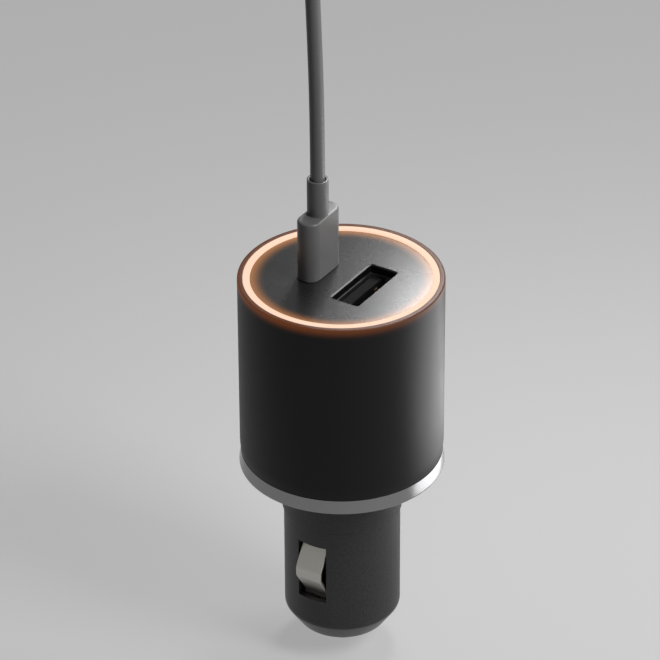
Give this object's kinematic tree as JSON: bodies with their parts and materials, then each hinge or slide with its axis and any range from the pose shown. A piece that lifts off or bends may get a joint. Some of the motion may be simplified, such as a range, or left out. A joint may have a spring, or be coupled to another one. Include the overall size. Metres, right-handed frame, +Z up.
{
  "type": "car usb charger plug",
  "caption": "Round USB charger head with a lit ring round its ports, a polished foot collar and a sprung-contact stem for a car's 12 V socket, with a USB-C lead plugged in.",
  "frame": {"origin": "on the plug's axis, in the plane of the collar's underside, where the head meets the socket's rim", "axes": "+Z up along the axis out of the socket; the ports' long sides run along Y; USB-A at +X, USB-C at -X"},
  "size_m": [0.0354, 0.0354, 0.1536],
  "materials": {
    "sleeve_black": "satin black",
    "face_grey": "satin dark grey",
    "ring_light": "frosted, lit from below in warm orange",
    "collar_metal": "polished",
    "barrel_black": "fine moulded grain",
    "nose_black": "smooth moulded",
    "contact_nickel": "nickel plated",
    "spring_steel": "drawn wire",
    "port_steel": "plated sheet",
    "port_black": "moulded insulator",
    "contact_gold": "gold plated",
    "board_green": "coated board",
    "part_black": "moulded component",
    "can_metal": "drawn can",
    "frame_plastic": "moulded liner",
    "led_white": "clear package",
    "lead_grey": "satin grey jacket",
    "plug_steel": "plated shell"
  },
  "bodies": {
    "charger": {"head_sleeve": "sleeve_black", "base_collar": "collar_metal", "light_ring": "ring_light", "face_plate": "face_grey", "led_board": "board_green", "leds": "led_white", "inner_frame": "frame_plastic", "port_board": "board_green", "main_board": "board_green", "usb_a_shell": "port_steel", "usb_a_tongue": "port_black", "usb_a_contacts": "contact_gold", "usb_c_shell": "port_steel", "usb_c_tongue": "port_black", "usb_c_contacts": "contact_gold", "barrel": "barrel_black", "nose_cap": "nose_black", "contact_spring": "spring_steel", "spring_terminal": "contact_nickel", "ground_strap": "contact_nickel", "power_inductor": "part_black", "input_capacitor": "can_metal", "output_capacitor": "can_metal", "controller_chip": "part_black", "port_chip": "part_black", "chip_capacitors": "part_black", "plug_shell": "plug_steel", "plug_insert": "port_black", "plug_overmould": "lead_grey", "plug_relief": "lead_grey", "lead_cable": "lead_grey", "far_relief": "lead_grey", "far_overmould": "lead_grey", "far_insert": "port_black", "far_shell": "plug_steel"},
    "centre_pin": {"centre_contact": "contact_nickel"},
    "front_arm": {"side_contact_front": "contact_nickel"},
    "rear_arm": {"side_contact_rear": "contact_nickel"}
  },
  "joints": [
    {"name": "centre_press", "type": "slide", "parent": "charger", "child": "centre_pin", "axis": [0, 0, 1], "range_m": [0, 0.003], "stiffness_N_per_m": 1200, "springref_m": -0.0015, "deforming": ["contact_spring"]},
    {"name": "front_flex", "type": "hinge", "parent": "charger", "child": "front_arm", "pos_m": [0, -0.0082, -0.0115], "axis": [1, 0, 0], "range_deg": [0, 12], "stiffness_Nm_per_rad": 0.15, "springref_deg": -2.86},
    {"name": "rear_flex", "type": "hinge", "parent": "charger", "child": "rear_arm", "pos_m": [0, 0.0082, -0.0115], "axis": [-1, 0, 0], "range_deg": [0, 12], "stiffness_Nm_per_rad": 0.15, "springref_deg": -2.86}
  ]
}
